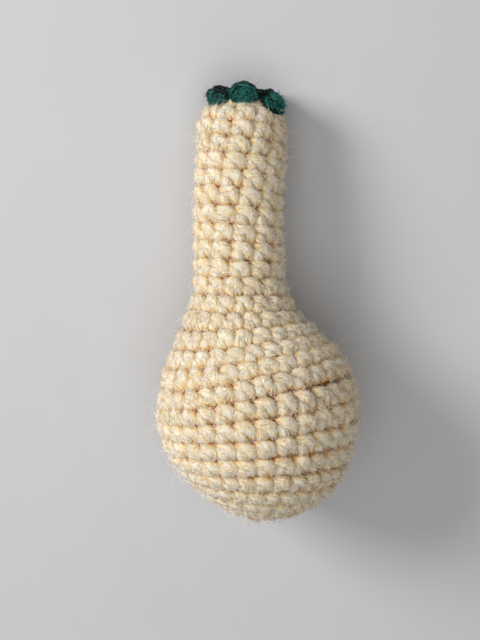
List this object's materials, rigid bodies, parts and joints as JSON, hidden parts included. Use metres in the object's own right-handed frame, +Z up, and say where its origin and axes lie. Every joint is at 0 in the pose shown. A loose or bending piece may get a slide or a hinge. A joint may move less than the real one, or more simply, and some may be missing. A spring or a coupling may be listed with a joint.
{
  "type": "crocheted squash toy",
  "caption": "Stuffed toy in the shape of a crookneck squash, crocheted in thick cream yarn, with a green scalloped yarn calyx, lying on its side.",
  "frame": {"origin": "centre of the bottom face of the bounding box, on the ground that the toy lies on", "axes": "+Y along the toy from the bulb to the neck end, +Z up from the ground, +X to the right seen from above with the neck end at the top"},
  "size_m": [0.0598, 0.1308, 0.0589],
  "materials": {
    "cream_yarn": "fuzzy worsted acrylic yarn in single crochet",
    "white_fibre": "loose polyester fibre",
    "green_yarn": "fuzzy worsted acrylic yarn in crocheted scallops"
  },
  "bodies": {
    "root": {"crochet_cover": "cream_yarn", "fibre_stuffing": "white_fibre", "calyx": "green_yarn"}
  },
  "joints": []
}
